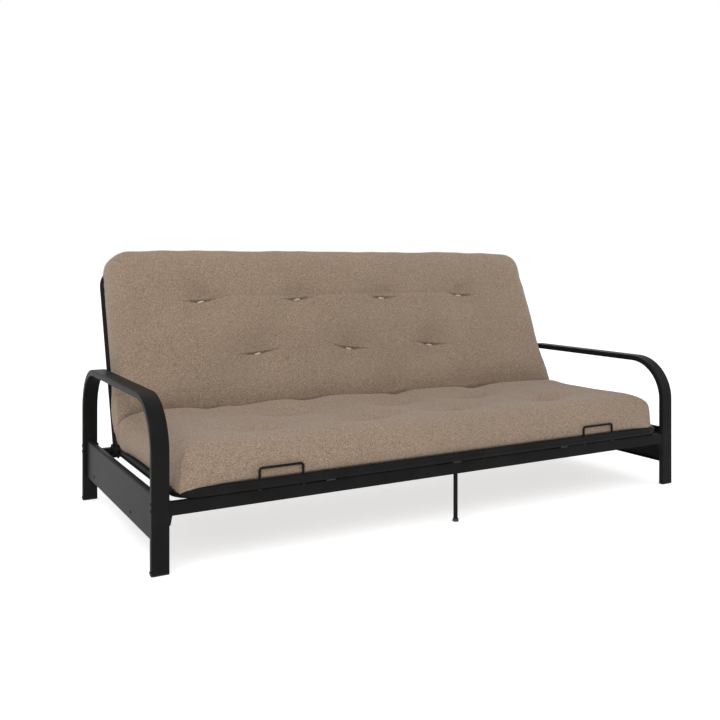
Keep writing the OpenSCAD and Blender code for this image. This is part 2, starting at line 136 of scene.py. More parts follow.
class FUTON_PG_mattress(bpy.types.PropertyGroup):
    """Sizes and colours of the mattress."""

    voxel: FloatProperty(name="Mesh size", description="Edge length of the mattress mesh",
                         default=0.0125, min=0.006, max=0.03, unit="LENGTH")
    slimmer: FloatProperty(name="Start slimmer", description="How much thinner the mattress starts",
                           default=0.012, min=0.0, max=0.03, unit="LENGTH")
    edge: FloatProperty(name="Edge rounding", description="Radius of the mattress's long edges",
                        default=0.036, min=0.01, max=0.05, unit="LENGTH")
    seat_corner: FloatProperty(name="Seat corners", description="Radius of the seat's two corners",
                               default=0.038, min=0.02, max=0.12, unit="LENGTH")
    back_corner: FloatProperty(name="Back corners", description="Radius of the back's two corners",
                               default=0.082, min=0.02, max=0.12, unit="LENGTH")
    pressure: FloatProperty(name="Filling pressure", description="How hard the filling pushes the cover out",
                            default=4.0, min=0.0, max=12.0)
    swell_cap: FloatProperty(name="Swell limit", description="Furthest that the cover moves as it swells",
                             default=0.018, min=0.0, max=0.04, unit="LENGTH")
    tuft_depth: FloatProperty(name="Tuft depth", description="Depth of the stitched tufts on the back",
                              default=0.024, min=0.0, max=0.04, unit="LENGTH")
    yarn_dark: FloatVectorProperty(name="Dark yarn", description="Darkest yarn of the weave",
                                   subtype="COLOR", default=(0.128, 0.090, 0.063), min=0.0, max=1.0)
    yarn_mid: FloatVectorProperty(name="Main yarn", description="Main yarn of the weave",
                                  subtype="COLOR", default=(0.264, 0.193, 0.139), min=0.0, max=1.0)
    yarn_light: FloatVectorProperty(name="Light yarn", description="Pale slubs in the weave",
                                    subtype="COLOR", default=(0.470, 0.372, 0.280), min=0.0, max=1.0)
    stitch: FloatVectorProperty(name="Tuft thread", description="Colour of the tufting thread",
                                subtype="COLOR", default=(0.700, 0.610, 0.430), min=0.0, max=1.0)


class FUTON_PG_frame(bpy.types.PropertyGroup):
    """Finish of the steelwork."""

    coat: FloatVectorProperty(name="Powder coat", description="Colour of the powder-coated steel",
                              subtype="COLOR", default=(0.0075, 0.0071, 0.0070), min=0.0, max=1.0)
    coat_gloss: FloatProperty(name="Coat roughness", description="Roughness of the powder coat",
                              default=0.41, min=0.05, max=1.0, subtype="FACTOR")
    plastic: FloatVectorProperty(name="Plastic", description="Colour of the plastic feet and plugs",
                                 subtype="COLOR", default=(0.012, 0.012, 0.012), min=0.0, max=1.0)
    hardware: FloatVectorProperty(name="Hardware", description="Colour of the black zinc screws and nuts",
                                  subtype="COLOR", default=(0.016, 0.016, 0.017), min=0.0, max=1.0)


class FUTON_PG_studio(bpy.types.PropertyGroup):
    """Light and floor of the studio."""

    floor: FloatVectorProperty(name="Floor", description="Colour of the studio floor",
                               subtype="COLOR", default=(0.55, 0.55, 0.55), min=0.0, max=1.0)
    floor_glow: FloatProperty(name="Floor glow", description="How brightly the floor shines by itself",
                              default=0.62, min=0.0, max=1.0)
    key: FloatProperty(name="Key light", description="Power of the large light above the sofa, in watts",
                       default=66.0, min=0.0)
    sky: FloatProperty(name="Sky", description="Strength of the white surround", default=1.0, min=0.0)


# ---------------------------------------------------------------- shader building

class Num:
    """A number on a node socket. Python's operators on it add Math nodes."""

    def __init__(self, tree, socket):
        self.tree = tree
        self.socket = socket

    def _math(self, operation, *operands):
        node = self.tree.nodes.new("ShaderNodeMath")
        node.operation = operation
        for slot_number, operand in enumerate(operands):
            if isinstance(operand, Num):
                self.tree.links.new(operand.socket, node.inputs[slot_number])
            else:
                node.inputs[slot_number].default_value = operand
        return Num(self.tree, node.outputs[0])

    def __add__(self, other):
        return self._math("ADD", self, other)

    def __sub__(self, other):
        return self._math("SUBTRACT", self, other)

    def __mul__(self, other):
        return self._math("MULTIPLY", self, other)

    def __truediv__(self, other):
        return self._math("DIVIDE", self, other)

    def upper(self, other):
        """The larger of the two."""
        return self._math("MAXIMUM", self, other)

    def step(self, low, high):
        """0 below low, 1 above high, smooth between."""
        node = self.tree.nodes.new("ShaderNodeMapRange")
        node.interpolation_type = "SMOOTHSTEP"
        self.tree.links.new(self.socket, node.inputs["Value"])
        node.inputs["From Min"].default_value = low
        node.inputs["From Max"].default_value = high
        return Num(self.tree, node.outputs[0])


class Finish:
    """One material with a Principled shader, and short ways to add the nodes that feed it."""

    def __init__(self, name):
        self.material = bpy.data.materials.new(name)
        self.material.use_nodes = True
        self.tree = self.material.node_tree
        self.shader = self.tree.nodes["Principled BSDF"]

    def add(self, kind, settings=(), **sockets):
        """Adds a node of that type. Settings are set first, then its sockets are given values or links."""
        node = self.tree.nodes.new(kind)
        for key, value in dict(settings).items():
            setattr(node, key, value)
        for key, value in sockets.items():
            self.feed(node.inputs[key.replace("_", " ")], value)
        return node

    def feed(self, socket, value):
        """Links a Num or a socket to this socket, or sets it to a plain value."""
        if isinstance(value, Num):
            value = value.socket
        if isinstance(value, bpy.types.NodeSocket):
            self.tree.links.new(value, socket)
        else:
            socket.default_value = value

    def num(self, socket):
        """That socket as a number for Python's operators."""
        return Num(self.tree, socket)

    def place(self, source="object", stretch=(1.0, 1.0, 1.0)):
        """Object coordinates, or a vector attribute's, stretched along their axes."""
        if source == "object":
            vector = self.add("ShaderNodeTexCoord").outputs["Object"]
        else:
            vector = self.add("ShaderNodeAttribute", {"attribute_name": source}).outputs["Vector"]
        return self.add("ShaderNodeMapping", Vector=vector, Scale=stretch).outputs["Vector"]

    def noise(self, vector, scale, detail, rough):
        """Noise from 0 to 1."""
        node = self.add("ShaderNodeTexNoise", Vector=vector, Scale=scale, Detail=detail, Roughness=rough)
        return self.num(node.outputs[0])

    def mix(self, factor, low, high):
        """A colour between low and high."""
        node = self.add("ShaderNodeMix", {"data_type": "RGBA"})
        self.feed(node.inputs[0], factor)
        self.feed(node.inputs[6], low if not isinstance(low, tuple) else (*low, 1.0))
        self.feed(node.inputs[7], high if not isinstance(high, tuple) else (*high, 1.0))
        return node.outputs[2]

    def bump(self, height, distance, strength):
        """Feeds the shader's normal from a height in 0..1 units of distance, in metres."""
        node = self.add("ShaderNodeBump", Height=height, Distance=distance, Strength=strength)
        self.feed(self.shader.inputs["Normal"], node.outputs["Normal"])

    def set(self, **values):
        """Constants and links on the shader's own sockets."""
        for key, value in values.items():
            self.feed(self.shader.inputs[key.replace("_", " ")], value)
        return self.material


def powder_coat(settings):
    """Satin black powder coat: fine orange peel, a slight unevenness in gloss, and faint dust."""
    f = Finish("black powder coat")
    where = f.place()
    peel = f.noise(where, 620.0, 2.0, 0.45)
    wave = f.noise(where, 150.0, 1.0, 0.4)
    patch = f.noise(where, 9.0, 3.0, 0.6)
    speck = f.noise(where, 1400.0, 0.0, 0.5).step(0.68, 0.80)
    colour = tuple(settings.coat)
    paler = tuple(min(1.0, c * 1.25 + 0.001) for c in colour)
    tone = f.mix(patch.step(0.35, 0.70), colour, paler)
    grey = tuple(c * 2.0 + 0.012 for c in colour)
    f.bump(peel * 0.6 + wave * 0.4, 0.00022, 0.55)
    return f.set(Base_Color=f.mix(speck * 0.55, tone, grey),
                 Roughness=(patch - 0.5) * 0.05 + peel * 0.08 + (settings.coat_gloss - 0.04),
                 Specular_IOR_Level=0.040)


def black_zinc(settings):
    """Blackened screws, bolts, pins and nuts: faintly metallic, with fine scuffs."""
    f = Finish("black zinc")
    scuff = f.noise(f.place(stretch=(1.0, 1.0, 6.0)), 420.0, 3.0, 0.6)
    patch = f.noise(f.place(), 60.0, 2.0, 0.5)
    colour = tuple(settings.hardware)
    f.bump(scuff, 0.00012, 0.4)
    return f.set(Base_Color=f.mix(patch.step(0.3, 0.7), tuple(c * 0.55 for c in colour), colour),
                 Roughness=scuff * 0.22 + 0.30, Metallic=0.10, Specular_IOR_Level=0.20)


def moulded_plastic(settings):
    """Moulded black plastic with a fine spark-eroded grain."""
    f = Finish("black plastic")
    grain = f.noise(f.place(), 1500.0, 1.0, 0.5)
    patch = f.noise(f.place(), 25.0, 2.0, 0.5)
    colour = tuple(settings.plastic)
    f.bump(grain, 0.00018, 0.5)
    return f.set(Base_Color=f.mix(patch, colour, tuple(c * 1.8 for c in colour)),
                 Roughness=grain * 0.12 + patch * 0.08 + 0.46)


def tweed(settings):
    """Plain-woven cover of slubby yarns: dark, main and pale yarns cross, in the mattress's own lay.

    The attribute lay holds X, the distance from the fold and the height through the thickness, so
    the yarns run along and across the mattress on every face.
    """
    f = Finish("taupe tweed")
    across = f.noise(f.place("lay", (0.42, 1.0, 1.0)), 560.0, 1.0, 0.5)
    along = f.noise(f.place("lay", (1.0, 0.42, 1.0)), 560.0, 1.0, 0.5)
    upright = f.noise(f.place("lay", (1.0, 1.0, 0.42)), 560.0, 1.0, 0.5)
    slub_x = f.noise(f.place("lay", (0.40, 1.0, 1.0)), 480.0, 1.0, 0.6)
    slub_y = f.noise(f.place("lay", (1.0, 0.40, 1.0)), 480.0, 1.0, 0.6)
    cell = f.noise(f.place("lay"), 520.0, 1.0, 0.5)
    tone = f.noise(f.place("lay"), 3.2, 2.0, 0.5)
    yarn = (across + along + upright) / 3.0
    dark = yarn.step(0.55, 0.43)
    pale = slub_x.step(0.56, 0.74).upper(slub_y.step(0.56, 0.74)) * cell.step(0.36, 0.60)
    body = f.mix(dark, tuple(settings.yarn_mid), tuple(settings.yarn_dark))
    body = f.mix(tone.step(0.3, 0.7) * 0.16, body, tuple(settings.yarn_dark))
    body = f.mix(pale * 0.62, body, tuple(settings.yarn_light))
    seam = f.num(f.add("ShaderNodeAttribute", {"attribute_name": "seam"}).outputs["Fac"])
    groove = seam.step(0.0042, 0.0)
    body = f.mix(groove * 0.45, body, tuple(settings.yarn_dark))
    f.bump(yarn * 0.35 + cell * 0.25 - groove, 0.0022, 0.75)
    return f.set(Base_Color=body, Roughness=yarn * 0.10 + 0.84,
                 Specular_IOR_Level=0.22, Sheen_Weight=0.10, Sheen_Roughness=0.55)


def cotton_thread(settings):
    """Twisted cream cotton thread."""
    f = Finish("tuft thread")
    where = f.place()
    twist = f.add("ShaderNodeTexWave", {"wave_type": "BANDS", "bands_direction": "DIAGONAL"},
                  Vector=where, Scale=260.0, Distortion=1.5)
    ply = f.num(twist.outputs["Fac"])
    colour = tuple(settings.stitch)
    f.bump(ply, 0.0006, 0.8)
    return f.set(Base_Color=f.mix(ply, tuple(c * 0.62 for c in colour), colour),
                 Roughness=ply * 0.1 + 0.8)


def studio_floor(settings):
    """Plain matt studio floor that shines a little, so that shadows on it are faint."""
    f = Finish("studio floor")
    patch = f.noise(f.place(), 0.6, 2.0, 0.5)
    colour = tuple(settings.floor)
    return f.set(Base_Color=f.mix(patch, tuple(c * 0.985 for c in colour), colour), Roughness=0.85,
                 Emission_Color=(1.0, 1.0, 1.0, 1.0), Emission_Strength=settings.floor_glow)


def dress(names, material):
    """Gives CAD nodes a finish."""
    for name in names:
        node = frame["nodes"][name]
        node.data.materials.clear()
        node.data.materials.append(material)


# ---------------------------------------------------------------- mesh helpers

def points_of(mesh):
    """The mesh's points as rows."""
    flat = np.zeros(len(mesh.vertices) * 3, np.float32)
    mesh.vertices.foreach_get("co", flat)
    return flat.reshape(-1, 3).astype(float)


def normals_of(mesh):
    """The mesh's point normals as rows."""
    flat = np.zeros(len(mesh.vertices) * 3, np.float32)
    mesh.vertex_normals.foreach_get("vector", flat)
    return flat.reshape(-1, 3).astype(float)


def move_points(mesh, rows):
    """Puts the mesh's points back."""
    mesh.vertices.foreach_set("co", rows.astype(np.float32).ravel())
    mesh.update()


def new_piece(name, bm, material):
    """An object from a bmesh, with its finish and material slot."""
    mesh = bpy.data.meshes.new(name)
    bm.to_mesh(mesh)
    bm.free()
    piece = bpy.data.objects.new(name, mesh)
    bpy.context.scene.collection.objects.link(piece)
    mesh.materials.append(material)
    return piece


def bake_modifiers(piece):
    """Replaces the mesh with what its modifiers show, and removes them."""
    graph = bpy.context.evaluated_depsgraph_get()
    shown = bpy.data.meshes.new_from_object(piece.evaluated_get(graph))
    piece.modifiers.clear()
    old = piece.data
    piece.data = shown
    bpy.data.meshes.remove(old)
    shown.name = piece.name


def sides_of(rows):
    """For each point: distance from the hinge line along its own half, height above that half's frame
    plane, and whether it is on the back."""
    seat_run = HINGE.y - rows[:, 1]
    seat_high = rows[:, 2] - HINGE.z
    rel = rows - np.array(HINGE)
    back_run = rel @ np.array(BACK_UP)
    back_high = rel @ np.array(BACK_OUT)
    on_back = back_high < seat_high
    run = np.where(on_back, back_run, seat_run)
    high = np.where(on_back, back_high, seat_high)
    return run, high, on_back


# ---------------------------------------------------------------- mattress

def ramp(value, width):
    """0 where value is nought or less, rising evenly to 1 at width."""
    return np.clip(value / width, 0, 1)


def bell(value, width):
    """1 where value is nought, falling smoothly on both sides."""
    return np.exp(-(value / width) ** 2)


def bevel(bm, edges, radius, segments):
    """Rounds those edges."""
    bmesh.ops.bevel(bm, geom=edges, offset=radius, offset_type="OFFSET", affect="EDGES",
                    segments=segments, profile=0.5, material=-1)


def rounded_half(bm, end, half, corner, settings):
    """One half drawn flat: X across, +Y away from the hinge, Z up from the frame plane. Its near face
    leans with the fold, and its edges and far corners are rounded."""
    low = UNDERSIDE + 0.15 * settings.slimmer
    high = UNDERSIDE + THICK - settings.slimmer
    same = 1e-4                                         # points this close in height are level
    for v in bmesh.ops.create_cube(bm, size=1.0)["verts"]:
        v.co.x *= 2 * half
        v.co.z = low if v.co.z < 0 else high
        v.co.y = v.co.z * FOLD_SLOPE - HALVES_OVERLAP if v.co.y < 0 else end
    bevel(bm, [e for e in bm.edges if abs(e.verts[0].co.z - e.verts[1].co.z) > THICK / 2
               and min(v.co.y for v in e.verts) > end / 2], corner, 7)
    bevel(bm, [e for e in bm.edges if min(v.co.z for v in e.verts) > high - same], settings.edge, 5)
    bevel(bm, [e for e in bm.edges if max(v.co.z for v in e.verts) < low + same
               and max(v.co.y for v in e.verts) > FOLD_CLEAR], LOWER_EDGE, 3)


def block_mattress(settings, material):
    """Both halves in the sofa position, as one piece."""
    bm = bmesh.new()
    rounded_half(bm, SEAT_END, SEAT_START_HALF, settings.seat_corner, settings)
    bmesh.ops.scale(bm, vec=(1.0, -1.0, 1.0), verts=bm.verts)
    bmesh.ops.translate(bm, vec=HINGE, verts=bm.verts)
    other = bmesh.new()
    rounded_half(other, BACK_END, BACK_START_HALF, settings.back_corner, settings)
    bmesh.ops.rotate(other, matrix=Matrix.Rotation(FOLD_ANGLE, 3, "X"), verts=other.verts)
    bmesh.ops.translate(other, vec=HINGE, verts=other.verts)
    scratch = bpy.data.meshes.new("half")
    other.to_mesh(scratch)
    other.free()
    bm.from_mesh(scratch)
    bpy.data.meshes.remove(scratch)
    bmesh.ops.recalc_face_normals(bm, faces=bm.faces)
    piece = new_piece("mattress", bm, material)
    remesh = piece.modifiers.new("Even mesh", "REMESH")
    remesh.mode = "VOXEL"
    remesh.voxel_size = settings.voxel
    remesh.use_smooth_shade = True
    bake_modifiers(piece)
    return piece


def held_share(rows):
    """How firmly each point is held while the filling swells: at the deck, the crease and the tufts."""
    run, high, on_back = sides_of(rows)
    fold = np.abs((rows - np.array(HINGE)) @ np.array(FOLD_SIDE))
    held = np.maximum(ramp(UNDERSIDE + 0.030 - high, 0.016), ramp(0.030 - fold, 0.015))
    for tufts, half in ((BACK_TUFTS, on_back), (SEAT_TUFTS, ~on_back)):
        for tuft_x, tuft_run, *_ in tufts:
            far = np.hypot(rows[:, 0] - tuft_x, run - tuft_run)
            here = half & (high > UNDERSIDE + 0.05)
            held = np.where(here, np.maximum(held, ramp(0.030 - far, 0.014)), held)
    return held


def swell(piece, settings):
    """Lets the filling push the cover out, by simulation."""
    start = points_of(piece.data)
    held = held_share(start)
    group = piece.vertex_groups.new(name="held")
    for index in np.nonzero(held > 0.01)[0]:
        group.add([int(index)], float(held[index]), "REPLACE")
    cloth = piece.modifiers.new("Filling", "CLOTH")
    cloth.settings.quality = 5
    cloth.settings.mass = 0.3
    cloth.settings.tension_stiffness = 8.0
    cloth.settings.compression_stiffness = 8.0
    cloth.settings.shear_stiffness = 4.0
    cloth.settings.bending_stiffness = 0.4
    cloth.settings.vertex_group_mass = "held"
    cloth.settings.use_pressure = True
    cloth.settings.uniform_pressure_force = settings.pressure
    cloth.settings.effector_weights.gravity = 0.0
    cloth.point_cache.frame_start = 1
    cloth.point_cache.frame_end = SWELL_FRAMES
    scene = bpy.context.scene
    scene.frame_start = 1
    scene.frame_end = SWELL_FRAMES
    for number in range(1, SWELL_FRAMES + 1):
        scene.frame_set(number)
    bake_modifiers(piece)
    scene.frame_set(1)
    moved = points_of(piece.data) - start
    length = np.linalg.norm(moved, axis=1, keepdims=True)
    limit = settings.swell_cap * np.tanh(length / settings.swell_cap)
    move_points(piece.data, start + moved / np.maximum(length, 1e-9) * limit)


def ripple(rows, size, seed):
    """A smooth wavy field from -1 to 1, made of a few crossing waves."""
    x, y, z = rows.T / size
    return (np.sin(2.1 * x + 1.3 * y + seed) + np.sin(1.7 * y - 2.3 * z + 2.1 * seed)
            + np.sin(1.1 * x - 1.9 * z + 0.7 * y + 1.7 * seed) + np.sin(2.9 * x + 0.6 * z + 3.3 * seed)) / 4


def tuft_pits(x, run):
    """The back's stitched tufts, as shares of the tuft depth: a bowl, an eye and a pinched, lipped fold."""
    total = np.zeros(len(x))
    for tuft_x, tuft_run, tilt in BACK_TUFTS:
        angle = math.radians(tilt) * 0.35
        along = (x - tuft_x) * math.cos(angle) + (run - tuft_run) * math.sin(angle)
        over = -(x - tuft_x) * math.sin(angle) + (run - tuft_run) * math.cos(angle)
        far = np.hypot(along, over)
        bowl = 0.44 * bell(far, 0.070)
        eye = 0.14 * bell(far, 0.010)
        curl = over - 0.03 * np.abs(along) ** 1.3
        pinch = 0.62 * np.exp(-(np.abs(along) / 0.048) ** 1.6) * bell(curl, 0.0032)
        lip = 0.16 * bell(along, 0.055) * bell(curl + 0.020, 0.012)
        total += bowl + eye + pinch - lip
    return total


def dimples(x, run):
    """The seat's unstitched tufts, in metres: a shallow bowl crossed by a soft fold."""
    total = np.zeros(len(x))
    for tuft_x, tuft_run in SEAT_TUFTS:
        bowl = 0.0125 * bell(x - tuft_x, 0.11) * bell(run - tuft_run, 0.06)
        curl = (run - tuft_run) + 1.2 * (x - tuft_x) ** 2
        total += bowl + 0.0080 * bell(x - tuft_x, 0.075) * bell(curl, 0.011)
    return total


def crease_rise(x):
    """How far the seat rises before the crease: most at the left, with dips at the crease's hidden tufts."""
    rise = np.interp(x, [-0.93, -0.80, -0.68, -0.55, -0.42, -0.22, 0.0, 0.20, 0.50, 0.75, 0.92],
                     [0.016, 0.024, 0.026, 0.017, 0.024, 0.026, 0.018, 0.022, 0.014, 0.015, 0.006])
    for dip_x in (-0.665, -0.275, 0.105, 0.470):
        rise = rise - 0.011 * bell(x - dip_x, 0.055)
    return rise


def shape_mattress(piece, settings):
    """Shaping after the swelling: slack waves, tufts with their pinched folds, the crease."""
    smooth = piece.modifiers.new("Smoother", "SUBSURF")
    smooth.levels = 1
    smooth.render_levels = 1
    bake_modifiers(piece)
    refine(piece)
    mesh = piece.data
    rows = points_of(mesh)
    run, high, on_back = sides_of(rows)
    x = rows[:, 0]
    face = ramp(high - UNDERSIDE - 0.055, 0.04)         # 1 on the upper faces, 0 below
    lift = 0.0030 * ripple(rows, 0.12, 1.0) + 0.0016 * ripple(rows, 0.05, 4.0)
    lift = lift * ramp(high - UNDERSIDE - 0.012, 0.03)
    lift -= settings.tuft_depth * tuft_pits(x, run) * (face * on_back)
    lift -= dimples(x, run) * (face * ~on_back)
    lift += crease_rise(x) * bell(run - 0.130, 0.075) * face * np.where(on_back, 0.5, 1.0)
    rows = rows + normals_of(mesh) * lift[:, None]
    # The crease: pulled in towards the hinge line, scalloped between its hidden tufts
    rel = rows - np.array(HINGE)
    fold = rel @ np.array(FOLD_SIDE)
    out = rel @ np.array(FOLD_OUT)
    scallop = 0.5 + 0.5 * np.cos(2 * np.pi * (x + 0.275) / 0.384)
    depth = (0.009 + 0.012 * scallop) * bell(fold, 0.0075) * ramp(out - 0.05, 0.05)
    rows = rows - np.array(FOLD_OUT) * depth[:, None]
    # Both ends flare near the crease, and the seat's ends bulge low down
    flare = 0.010 * bell(run - 0.11, 0.075) * ramp(np.abs(x) - 0.80, 0.12)
    bulge = 0.009 * ramp(run - 0.02, 0.10) * ramp(UNDERSIDE + 0.085 - high, 0.06)
    flare += bulge * ramp(np.abs(x) - 0.86, 0.06) * ~on_back
    rows[:, 0] += np.sign(x) * flare
    # The seat's right end draws in towards the front, most at its foot
    lean = 0.030 - 0.038 * ramp(high - UNDERSIDE, THICK)
    rows[:, 0] -= lean * ramp(run - 0.12, 0.45) * ramp(x - 0.62, 0.24) * ~on_back
    move_points(mesh, rows)


def refine(piece):
    """Splits the mesh finer where tufts and the crease need sharp folds."""
    bm = bmesh.new()
    bm.from_mesh(piece.data)
    rows = np.array([v.co for v in bm.verts])
    run, high, on_back = sides_of(rows)
    wanted = np.abs((rows - np.array(HINGE)) @ np.array(FOLD_SIDE)) < 0.022
    wanted &= high > UNDERSIDE + 0.05
    for tuft_x, tuft_run, _ in BACK_TUFTS:
        near = ((rows[:, 0] - tuft_x) / 0.085) ** 2 + ((run - tuft_run) / 0.036) ** 2 < 1
        wanted |= near & on_back & (high > UNDERSIDE + 0.06)
    edges = [e for e in bm.edges if wanted[e.verts[0].index] and wanted[e.verts[1].index]]
    bmesh.ops.subdivide_edges(bm, edges=edges, cuts=2, use_grid_fill=True)
    bmesh.ops.triangulate(bm, faces=[f for f in bm.faces if len(f.verts) > 4])
    bm.to_mesh(piece.data)
    bm.free()


def settle(piece, settings):
    """Lets the cover lie against the frame: clear of the fittings, round at the corners, over the tubes."""
    rows = clear_fittings(points_of(piece.data))
    rows = round_back_corners(piece.data, rows, settings)
    move_points(piece.data, rest_on_frame(rows))


def clear_fittings(rows):
    """Keeps the seat behind the stoppers and the ends off the arms, and lets the front corners droop."""
    for stopper in ("stopper_left", "stopper_right"):
        low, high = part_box(stopper)
        near = (rows[:, 0] > low.x - 0.02) & (rows[:, 0] < high.x + 0.02) & (rows[:, 2] < high.z + 0.012)
        rows[:, 1] = np.where(near, np.maximum(rows[:, 1], high.y + COVER_GAP), rows[:, 1])
    run, high, on_back = sides_of(rows)
    droop = ramp(np.abs(rows[:, 0]) - 0.71, 0.20) * ramp(run - 0.50, 0.12) * ~on_back
    droop = droop * ramp(UNDERSIDE + 0.075 - high, 0.06)
    rows[:, 1] = np.maximum(rows[:, 1] - 0.009 * droop, SEAT_LOW.y - 0.006 - 0.008 * droop)
    rows[:, 0] = np.clip(rows[:, 0], -SIDE_LIMIT, SIDE_LIMIT)
    return rows


def round_back_corners(mesh, rows, settings):
    """Gives the back's far corners the same rounded edge as its straight sides."""
    run, high, on_back = sides_of(rows)
    side = np.abs(rows[:, 0]) - (BACK_HALF - settings.back_corner)
    end = run - (BACK_END - settings.back_corner)
    reach = np.hypot(np.maximum(side, 0), np.maximum(end, 0))
    inside = settings.back_corner - reach
    # The height of the straight sides' top at steps in from the edge is the roof over the corners
    straight = on_back & (run > 0.30) & (run < 0.50)
    inward = BACK_HALF - np.abs(rows[:, 0])
    steps = np.linspace(0.0, 0.12, 13)
    tops = [high[straight & (np.abs(inward - step) < 0.007)].max() for step in steps]
    roof = np.interp(inside, steps, tops)
    near = on_back * ramp(side + 0.12, 0.10) * ramp(end + 0.08, 0.07)
    spare = np.maximum(high - roof, 0) * near
    beyond = np.maximum(-inside, 0) / np.maximum(reach, 1e-6) * ramp(run - 0.25, 0.15) * on_back
    rows = rows - np.array(BACK_OUT) * spare[:, None]
    rows = rows - np.array(BACK_UP) * (beyond * np.maximum(end, 0))[:, None]
    rows[:, 0] -= np.sign(rows[:, 0]) * beyond * np.maximum(side, 0)
    turn = ramp(side + 0.115, 0.06) * ramp(end + 0.100, 0.06) * (high > UNDERSIDE + 0.012)
    return relax(mesh, rows, turn * on_back)


def relax(mesh, rows, weight):
    """Evens points out between their neighbours, as far as each point's weight allows."""
    ends = np.empty(len(mesh.edges) * 2, dtype=np.int32)
    mesh.edges.foreach_get("vertices", ends)
    ends = ends.reshape(-1, 2)
    ends = ends[(weight[ends] > 0).any(axis=1)]
    used, ends = np.unique(ends, return_inverse=True)
    first, second = ends.reshape(-1, 2).T
    spots = rows[used]
    share = weight[used][:, None] * RELAX_STEP
    count = (np.bincount(first, minlength=len(used)) + np.bincount(second, minlength=len(used)))[:, None]
    for _ in range(RELAX_ROUNDS):
        total = np.stack([np.bincount(first, spots[second, axis], len(used))
                          + np.bincount(second, spots[first, axis], len(used)) for axis in range(3)], axis=1)
        spots = spots + (total / count - spots) * share
    rows = rows.copy()
    rows[used] = spots
    return rows


def rest_on_frame(rows):
    """The lower edge hangs over the frame tube and bulges between the tube and the deck."""
    run, high, on_back = sides_of(rows)
    way = np.where(on_back[:, None], np.array(BACK_OUT)[None, :], np.array([[0.0, 0.0, 1.0]]))
    off = beside_tube(rows[:, 0], run, on_back)
    corner = ramp(np.abs(rows[:, 0]) - 0.80, 0.09) * ramp(run - 0.52, 0.08)
    sag = (0.0085 + 0.018 * corner * ~on_back) * (run > FOLD_CLEAR)
    sag = sag * ramp(off + 0.075, 0.045) * ramp(UNDERSIDE + 0.065 - high, 0.05)
    rows = rows - way * sag[:, None]
    run, high, on_back = sides_of(rows)
    off = beside_tube(rows[:, 0], run, on_back)
    touch = TUBE_R + COVER_GAP
    over_tube = np.sqrt(np.maximum(touch ** 2 - off ** 2, 0))
    floor = np.where(off < 0, DECK_TOP + COVER_GAP, LOWEST_HANG)
    floor = np.where(np.abs(off) < touch, over_tube, floor)
    floor = np.where(run > FOLD_CLEAR, floor, UNDERSIDE)
    return rows + way * np.maximum(floor - high, 0)[:, None]


def beside_tube(x, run, on_back):
    """How far each point lies outside the U-shaped frame tube's centre line, seen square to the frame."""
    far = np.where(on_back, BACK_TUBE, SEAT_TUBE)
    side = np.abs(x) - (TUBE_X - TUBE_BEND)
    end = run - (far - TUBE_BEND)
    outside = np.hypot(np.maximum(side, 0), np.maximum(end, 0))
    return outside + np.minimum(np.maximum(side, end), 0) - TUBE_BEND


def record_lay(piece, settings):
    """Stores where each point lies in the unfolded mattress, for the weave, and how far it is from a seam."""
    rows = points_of(piece.data)
    run, high, on_back = sides_of(rows)
    lay = np.stack([rows[:, 0], np.where(on_back, run, -run), high], axis=1)
    layer = piece.data.attributes.new("lay", "FLOAT_VECTOR", "POINT")
    layer.data.foreach_set("vector", lay.astype(np.float32).ravel())
    seam = np.full(len(rows), 1.0)
    for long, corner, half in ((SEAT_LONG, settings.seat_corner, ~on_back),
                               (BACK_LONG, settings.back_corner, on_back)):
        side = np.abs(rows[:, 0]) - (HALF_WIDTH - corner)
        end = run - (long - corner)
        diagonal = np.abs(side - end) / math.sqrt(2)
        here = half & (np.maximum(side, end) > 0.2 * corner) & (high < SEAM_TOP)
        seam = np.where(here, np.minimum(seam, diagonal), seam)
    join = np.abs(run - SIDE_SEAM)
    seam = np.where(on_back & (np.abs(rows[:, 0]) > HALF_WIDTH - 0.045), np.minimum(seam, join), seam)
    line = piece.data.attributes.new("seam", "FLOAT", "POINT")
    line.data.foreach_set("value", seam.astype(np.float32))
    piece.data.shade_smooth()


def thread_bundle():
    """Three strands side by side along X, arched so that their middle stands up."""
    bm = bmesh.new()
    for strand in range(3):
        made = bmesh.ops.create_cone(bm, cap_ends=True, segments=8, radius1=THREAD_R, radius2=THREAD_R,
                                     depth=THREAD_LONG)["verts"]
        bmesh.ops.rotate(bm, matrix=Matrix.Rotation(math.pi / 2, 3, "Y"), verts=made)
        bmesh.ops.translate(bm, vec=(0.0012 * (strand % 2), (strand - 1) * 0.0021, 0.0), verts=made)
    lengthwise = [e for e in bm.edges if abs(e.verts[0].co.x - e.verts[1].co.x) > 0.01]
    bmesh.ops.subdivide_edges(bm, edges=lengthwise, cuts=5, use_grid_fill=True)
    for v in bm.verts:
        v.co.z += 0.0026 * (1 - (v.co.x / (THREAD_LONG / 2)) ** 2) - 0.0010
    return bm


def stitch_pieces(mattress, material):
    """One short bundle of thread in each of the back's tufts, lying on the cover."""
    graph = bpy.context.evaluated_depsgraph_get()
    skin = BVHTree.FromObject(mattress, graph)
    axes = Matrix((Vector((1, 0, 0)), BACK_UP, BACK_OUT)).transposed()
    for number, (x, run, tilt) in enumerate(BACK_TUFTS):
        start = HINGE + BACK_UP * run + BACK_OUT * 0.3
        start.x = x
        hit = skin.ray_cast(start, -BACK_OUT)[0]
        bm = thread_bundle()
        bmesh.ops.rotate(bm, matrix=axes @ Matrix.Rotation(math.radians(tilt), 3, "Z"), verts=bm.verts)
        bmesh.ops.translate(bm, vec=hit + BACK_OUT * THREAD_RAISE, verts=bm.verts)
        piece = new_piece(f"tuft_thread_{number + 1}", bm, material)
        piece.data.shade_smooth()
        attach(piece, "back")


# ---------------------------------------------------------------- operators

